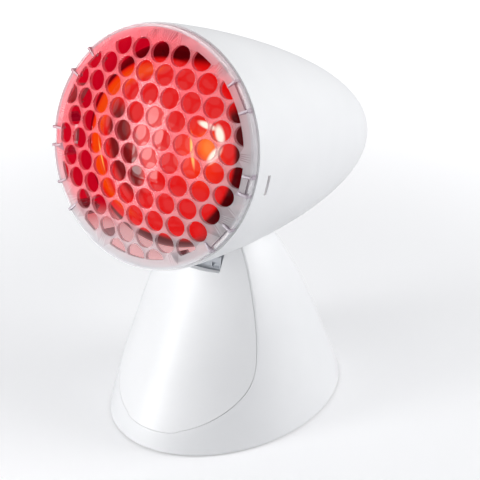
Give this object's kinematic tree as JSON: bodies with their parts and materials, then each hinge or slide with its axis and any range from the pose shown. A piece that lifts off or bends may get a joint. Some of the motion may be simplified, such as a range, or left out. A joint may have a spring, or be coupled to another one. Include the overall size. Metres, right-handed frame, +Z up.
{
  "type": "infrared heat therapy lamp",
  "caption": "Red reflector lamp in a bullet-shaped white head behind a clear perforated guard, tilting in clicks on a bell-shaped foot with a leaf-shaped front cover.",
  "frame": {"origin": "on the surface that the lamp stands on, under the middle of its length and width", "axes": "+Z up, the lamp's front faces -Y, +X to the right of someone who looks at its front"},
  "size_m": [0.112, 0.1946, 0.2081],
  "materials": {
    "white_plastic": "satin",
    "clear_guard": "polished",
    "red_glass": "polished",
    "clear_glass": "polished",
    "grey_plastic": "satin",
    "black_plastic": "matte",
    "porcelain": "glazed",
    "brass": "plain",
    "aluminium": "polished",
    "nickel": "plain",
    "steel": "zinc plated",
    "tungsten": "glowing",
    "rubber": "matte"
  },
  "bodies": {
    "base": {"base_shell": "white_plastic", "front_panel": "white_plastic", "base_plate": "white_plastic", "rubber_feet": "rubber", "base_screws": "steel", "cord_gland": "rubber", "cord_clamp": "grey_plastic", "clamp_screws": "steel", "terminal_block": "grey_plastic", "terminal_screws": "brass", "hinge_pin": "steel", "hinge_washers": "black_plastic", "detent_spring": "steel", "detent_screw": "steel"},
    "head": {"head_shell": "white_plastic", "front_grille": "clear_guard", "bulb_glass": "red_glass", "bulb_cap": "nickel", "bulb_contact": "black_plastic", "bulb_stem": "clear_glass", "bulb_filament": "tungsten", "lamp_holder": "porcelain", "holder_thread": "brass", "holder_contact": "brass", "holder_screws": "steel", "heat_shield": "aluminium", "shade_ring": "black_plastic", "hinge_arm": "grey_plastic", "arm_screws": "steel"}
  },
  "joints": [
    {"name": "head_tilt", "type": "hinge", "parent": "base", "child": "head", "pos_m": [0, -0.0047, 0.078], "axis": [-1, 0, 0], "range_deg": [0, 30]}
  ]
}
